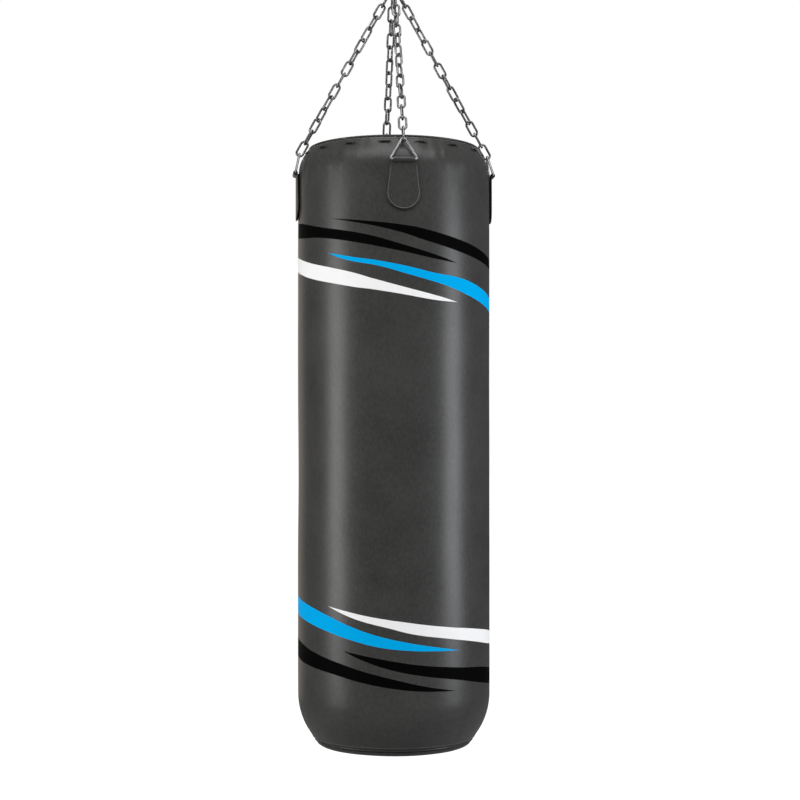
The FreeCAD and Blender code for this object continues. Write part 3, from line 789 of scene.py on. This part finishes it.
def stuffing(name, node, rings, lump, finish):
    """A soft block drawn ring by ring round its whole section, with lumps of that size."""
    piece = lathe(name, rings, 72)

    def lumpy(point):
        """Draw a point in by up to one lump."""
        radial = Vector((point.x, point.y, 0)).normalized()
        return point - radial * lump * (0.5 + 0.5 * noise.noise(point * 30))

    mould(piece, lumpy)
    face_outwards(piece)
    smooth(piece)
    coat(piece, finish)
    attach(piece, "bag")
    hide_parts(node)


foam = Finish("closed_cell_foam")
cells = foam.node("TexVoronoi", {"feature": "F1"}, {"Vector": foam.point, "Scale": 900.0})
foam.surface(
    foam.blend(cells, (0.16, 0.16, 0.17, 1), (0.3, 0.3, 0.31, 1)), 0.75 + foam.cloud(60) * 0.15, cells, 0.0004
)
rags = Finish("chopped_textile")
scraps = rags.node("TexVoronoi", {"feature": "F1"}, {"Vector": rags.point, "Scale": 45.0}, "Color")
rags.surface(
    rags.blend(0.75, scraps, (0.35, 0.33, 0.3, 1)), 0.85 + rags.cloud(300) * 0.1, rags.cloud(220, 5), 0.002
)


def block_rings(node, edge, inner=0.0006):
    """Round the section of a disc or a tube, its edges eased."""
    low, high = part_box(node)
    foot, top, outer = low.z - FOOT, high.z - FOOT, high.x
    rings = [(inner, foot), (outer - edge, foot), (outer, foot + edge)]
    rings += [(outer, h) for h in steps(foot + edge, top - edge, 12)[1:]]
    rings += [(outer - edge, top), (inner, top)]
    return rings + [(inner, foot)] if inner > 0.001 else rings


stuffing("foam_sleeve", "foam_wrap", block_rings("foam_wrap", 0.002, 0.1524), 0.0008, foam)
stuffing("foam_pad_top", "foam_cap", block_rings("foam_cap", 0.004), 0.0010, foam)
stuffing("foam_pad_bottom", "foam_floor", block_rings("foam_floor", 0.004), 0.0010, foam)
rag_rings = block_rings("textile_filling", 0.008)
stuffing("packed_textile", "textile_filling", rag_rings, 0.0040, rags)


# ---------------------------------------------------------------- studio
# A pale floor well below the bag, a tall strip light at either side of it, a warm one behind its left edge,
# a large soft one in front, one behind and one above, and a camera level with the middle of the bag.

bpy.context.scene.view_settings.view_transform = "Standard"

bpy.ops.object.select_all(action="DESELECT")
bpy.ops.mesh.primitive_circle_add(vertices=96, radius=60, fill_type="NGON", location=(0, 0, FOOT - 0.55))
floor = bpy.context.object
floor.name = "studio_floor"
pale = Finish("pale_floor", Base_Color=(0.3, 0.3, 0.3, 1), Roughness=0.9)
seen = pale.node("LightPath", output="Is Camera Ray")
pale.feed(pale.shader.inputs["Emission Color"], pale.blend(seen, (0.02, 0.02, 0.02, 1), (0.99, 0.99, 0.99, 1)))
pale.feed(pale.shader.inputs["Emission Strength"], 1.0)
coat(floor, pale)

world = bpy.data.worlds.new("studio")
world.use_nodes = True
bpy.context.scene.world = world
sky = world.node_tree
background = sky.nodes["Background"]
background.inputs["Color"].default_value = (1, 1, 1, 1)
brightness = sky.nodes.new("ShaderNodeMath")
brightness.operation = "MULTIPLY_ADD"
brightness.inputs[1].default_value = 0.88
brightness.inputs[2].default_value = 0.12
sky.links.new(sky.nodes.new("ShaderNodeLightPath").outputs["Is Camera Ray"], brightness.inputs[0])
sky.links.new(brightness.outputs[0], background.inputs["Strength"])


def softbox(name, degrees, distance, height, size, watts, colour=(1, 1, 1)):
    """An area light at an angle round the bag, turned towards its middle."""
    lamp = bpy.data.lights.new(name, "AREA")
    lamp.shape = "RECTANGLE"
    lamp.color = colour
    lamp.size, lamp.size_y = size
    lamp.energy = watts
    holder = bpy.data.objects.new(name, lamp)
    bpy.context.scene.collection.objects.link(holder)
    angle = math.radians(degrees)
    holder.location = (math.sin(angle) * distance, -math.cos(angle) * distance, FOOT + height)
    to_bag = Vector((0, 0, FOOT + 0.55)) - holder.location
    holder.rotation_euler = to_bag.to_track_quat("-Z", "Y").to_euler()
    return holder


CAMERA_TURN = -5.6
CAMERA_DISTANCE = 3.0625
CAMERA_DROP = 0.5397
SIDE_DISTANCE = 1.9
SIDE_HEIGHT = 0.575
COOL = (0.94, 0.96, 1.0)
WARM = (1.0, 0.86, 0.7)
softbox("left_strip", CAMERA_TURN - 68, SIDE_DISTANCE, SIDE_HEIGHT, (0.60, 1.35), 18)
softbox("right_strip", CAMERA_TURN + 71, SIDE_DISTANCE, SIDE_HEIGHT, (0.66, 1.35), 20.5, COOL)
rim_light = softbox("rim_light", CAMERA_TURN - 152, SIDE_DISTANCE, SIDE_HEIGHT, (1.4, 1.6), 4, WARM)
rim_light.visible_camera = False
softbox("front_light", CAMERA_TURN, 3.6, 5.0, (9.0, 3.0), 295)
softbox("back_light", CAMERA_TURN + 180, 3.6, 2.6, (2.6, 1.6), 26)
softbox("top_light", CAMERA_TURN, 0.15, 2.9, (1.4, 1.4), 16)

camera_data = bpy.data.cameras.new("camera")
camera_data.lens = 75.6
camera_data.shift_x = 0.0078
camera_data.shift_y = 0.0575
camera = bpy.data.objects.new("camera", camera_data)
bpy.context.scene.collection.objects.link(camera)
away = math.radians(CAMERA_TURN)
camera.location = (math.sin(away) * CAMERA_DISTANCE, -math.cos(away) * CAMERA_DISTANCE, RIM - CAMERA_DROP)
camera.rotation_euler = (math.pi / 2, 0, away)
bpy.context.scene.camera = camera
